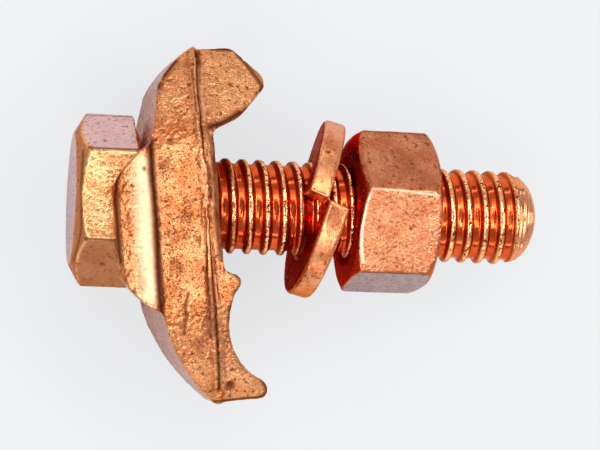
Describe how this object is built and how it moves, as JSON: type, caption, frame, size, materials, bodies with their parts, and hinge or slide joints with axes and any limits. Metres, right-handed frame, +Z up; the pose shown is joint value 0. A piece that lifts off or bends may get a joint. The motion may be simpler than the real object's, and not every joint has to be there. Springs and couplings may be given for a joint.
{
  "type": "mechanical grounding connector",
  "caption": "Forged copper-alloy clamp with a foot and a cable hook on a hexagon bolt, closed by a spring lock washer and a nut to bond a ground cable to a flat bar.",
  "frame": {"origin": "where the bolt axis meets the plane of the bar face that the clamp's foot bears on", "axes": "+X along the bolt from the head to the nut, +Y toward the foot and away from the cable hook, +Z up as the part lies on its side"},
  "size_m": [0.0392, 0.029, 0.0174],
  "materials": {
    "bolt_copper": "copper alloy, forged head and rolled bright thread",
    "clamp_copper": "copper alloy, forged and tumbled, with a parting line",
    "washer_copper": "copper alloy, coiled from rectangular wire",
    "nut_copper": "copper alloy, hot forged, fine pits"
  },
  "bodies": {
    "clamp": {"clamp_body": "clamp_copper"},
    "bolt": {"hex_bolt": "bolt_copper"},
    "washer": {"lock_washer": "washer_copper"},
    "nut": {"hex_nut": "nut_copper"}
  },
  "joints": [
    {"name": "clamp_rock", "type": "hinge", "parent": "clamp", "child": "bolt", "pos_m": [-0.0074, 0, 0], "axis": [0, 0, 1], "range_deg": [0, 13.6]},
    {"name": "washer_slide", "type": "slide", "parent": "bolt", "child": "washer", "axis": [1, 0, 0], "range_m": [-0.00282, 0.01129]},
    {"name": "nut_turn", "type": "hinge", "parent": "washer", "child": "nut", "pos_m": [0.00697, 0, 0], "axis": [1, 0, 0], "range_deg": [-720, 2880]}
  ],
  "couplings": [
    {"joint": "washer_slide", "follows": "nut_turn", "m_per_rad": 0.00022459}
  ]
}
